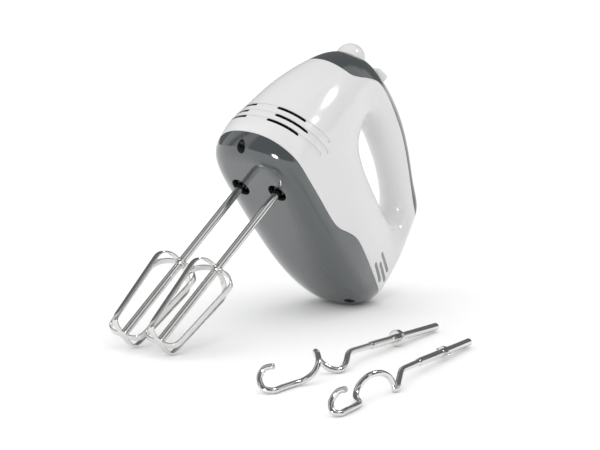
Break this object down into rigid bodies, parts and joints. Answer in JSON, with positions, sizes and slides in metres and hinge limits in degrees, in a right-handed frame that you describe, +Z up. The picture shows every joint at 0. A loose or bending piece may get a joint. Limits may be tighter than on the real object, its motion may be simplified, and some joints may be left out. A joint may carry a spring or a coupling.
{
  "type": "hand mixer",
  "caption": "Hand mixer standing on its heel and beater tips, with loop handle, geared beaters, eject button, speed slider and loose dough hooks.",
  "frame": {"origin": "centre of the heel's flat rest, on the worktop", "axes": "+X the way the nose points, along the worktop; +Y the mixer's left, where the dough hooks lie; +Z up"},
  "size_m": [0.3148, 0.2415, 0.1777],
  "materials": {
    "white_plastic": "smooth gloss",
    "slate_plastic": "smooth gloss",
    "black_plastic": "moulded",
    "nylon": "moulded, natural",
    "carbon": "pressed",
    "rubber": "moulded",
    "chrome": "polished plating",
    "steel": "machined",
    "brass": "turned",
    "copper": "enamelled copper wire",
    "alloy": "die cast"
  },
  "bodies": {
    "housing": {"upper_housing": "white_plastic", "bottom_shell": "slate_plastic", "handle_cover": "slate_plastic", "trim_bar_left_1": "slate_plastic", "trim_bar_left_2": "slate_plastic", "trim_bar_left_3": "slate_plastic", "trim_bar_right_1": "slate_plastic", "trim_bar_right_2": "slate_plastic", "trim_bar_right_3": "slate_plastic", "cord_gland": "rubber", "nose_screw": "steel", "heel_screw_left": "steel", "heel_screw_right": "steel", "gearbox_deck": "alloy", "front_bearing_bracket": "alloy", "rear_bearing_bracket": "black_plastic", "front_bearing": "brass", "rear_bearing": "brass", "spindle_bush_left": "brass", "spindle_bush_right": "brass", "field_core": "steel", "field_coil_front": "copper", "field_coil_rear": "copper", "brush_holder_left": "brass", "brush_holder_right": "brass", "carbon_brush_left": "carbon", "carbon_brush_right": "carbon", "speed_switch": "black_plastic", "capacitor": "copper", "ejector_spring": "steel", "spring_bridge": "steel"},
    "rotor": {"motor_shaft": "steel", "worm": "brass", "armature_core": "steel", "armature_winding_front": "copper", "armature_winding_rear": "copper", "commutator": "copper", "cooling_fan": "black_plastic"},
    "drive_left": {"worm_gear_left": "nylon", "spindle_left": "steel"},
    "drive_right": {"worm_gear_right": "nylon", "spindle_right": "steel"},
    "beater_left": {"beater_cage_left": "chrome", "beater_shaft_left": "chrome", "beater_collar_left": "chrome"},
    "beater_right": {"beater_cage_right": "chrome", "beater_shaft_right": "chrome", "beater_collar_right": "chrome"},
    "ejector": {"eject_button": "white_plastic", "ejector_yoke": "black_plastic"},
    "slider": {"speed_slider": "white_plastic"},
    "hook_left": {"dough_hook_left": "chrome", "hook_collar_left": "chrome"},
    "hook_right": {"dough_hook_right": "chrome", "hook_ears_right": "chrome"}
  },
  "joints": [
    {"name": "rotor_spin", "type": "hinge", "parent": "housing", "child": "rotor", "pos_m": [0.05032, 0, 0.08205], "axis": [0.577, 0, 0.8167], "continuous": true},
    {"name": "spindle_left_spin", "type": "hinge", "parent": "housing", "child": "drive_left", "pos_m": [0.07417, 0.016, 0.10194], "axis": [-0.8167, 0, 0.577], "continuous": true},
    {"name": "spindle_right_spin", "type": "hinge", "parent": "housing", "child": "drive_right", "pos_m": [0.07417, -0.016, 0.10194], "axis": [-0.8167, 0, 0.577], "continuous": true},
    {"name": "eject_press", "type": "slide", "parent": "housing", "child": "ejector", "axis": [0.8167, 0, -0.577], "range_m": [0, 0.005], "stiffness_N_per_m": 600, "springref_m": -0.005, "deforming": ["ejector_spring"]},
    {"name": "beater_left_eject", "type": "slide", "parent": "drive_left", "child": "beater_left", "axis": [0.8167, 0, -0.577], "range_m": [0, 0.005]},
    {"name": "beater_right_eject", "type": "slide", "parent": "drive_right", "child": "beater_right", "axis": [0.8167, 0, -0.577], "range_m": [0, 0.005]},
    {"name": "speed_slide", "type": "slide", "parent": "housing", "child": "slider", "axis": [-0.6553, 0, -0.7554], "range_m": [0, 0.012]},
    {"name": "hook_left_lift", "type": "slide", "parent": "housing", "child": "hook_left", "axis": [0, 0, 1], "range_m": [0, 0.12]},
    {"name": "hook_right_lift", "type": "slide", "parent": "housing", "child": "hook_right", "axis": [0, 0, 1], "range_m": [0, 0.12]}
  ],
  "couplings": [
    {"joint": "spindle_left_spin", "follows": "rotor_spin", "ratio": -0.045455},
    {"joint": "spindle_right_spin", "follows": "rotor_spin", "ratio": 0.045455},
    {"joint": "beater_left_eject", "follows": "eject_press", "ratio": 1},
    {"joint": "beater_right_eject", "follows": "eject_press", "ratio": 1}
  ]
}
